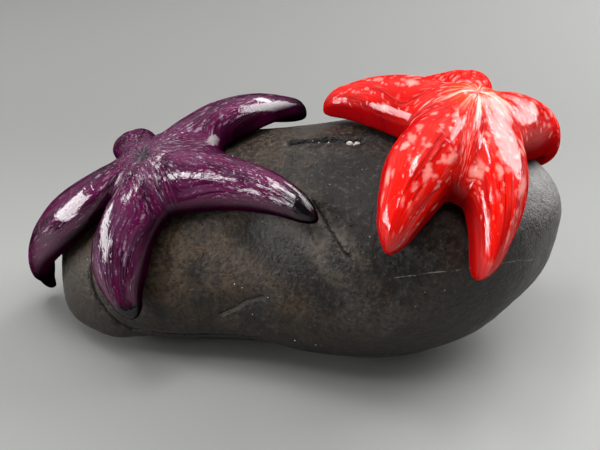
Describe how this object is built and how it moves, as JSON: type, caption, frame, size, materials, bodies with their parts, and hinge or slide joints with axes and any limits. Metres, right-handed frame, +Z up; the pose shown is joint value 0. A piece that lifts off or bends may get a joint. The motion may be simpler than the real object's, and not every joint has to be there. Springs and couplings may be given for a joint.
{
  "type": "glass starfish sculpture on stone",
  "caption": "Two hand-worked art-glass starfish, one deep purple and one bright red, draped over a smooth dark water-worn stone that stands as their base.",
  "frame": {"origin": "on the surface that the stone stands on, under the middle of the whole sculpture's box", "axes": "+X along the stone from its narrow end, with the purple starfish, to its broad end, with the red one; +Z up; the front faces -Y"},
  "size_m": [0.3298, 0.1918, 0.1551],
  "materials": {
    "stone": "dark grey water-worn stone with a soft satin sheen, brownish at the narrow end",
    "purple_glass": "polished deep purple glass with pale lavender streaks under the surface",
    "red_glass": "polished bright red glass with white and pink flecks and a clear amber centre"
  },
  "bodies": {
    "root": {"stone": "stone", "purple_disc": "purple_glass", "purple_arm_back_right": "purple_glass", "purple_arm_back": "purple_glass", "purple_arm_left": "purple_glass", "purple_arm_front": "purple_glass", "purple_arm_right": "purple_glass", "red_disc": "red_glass", "red_arm_left": "red_glass", "red_arm_front_left": "red_glass", "red_arm_front_right": "red_glass", "red_arm_right": "red_glass", "red_arm_back": "red_glass"}
  },
  "joints": []
}
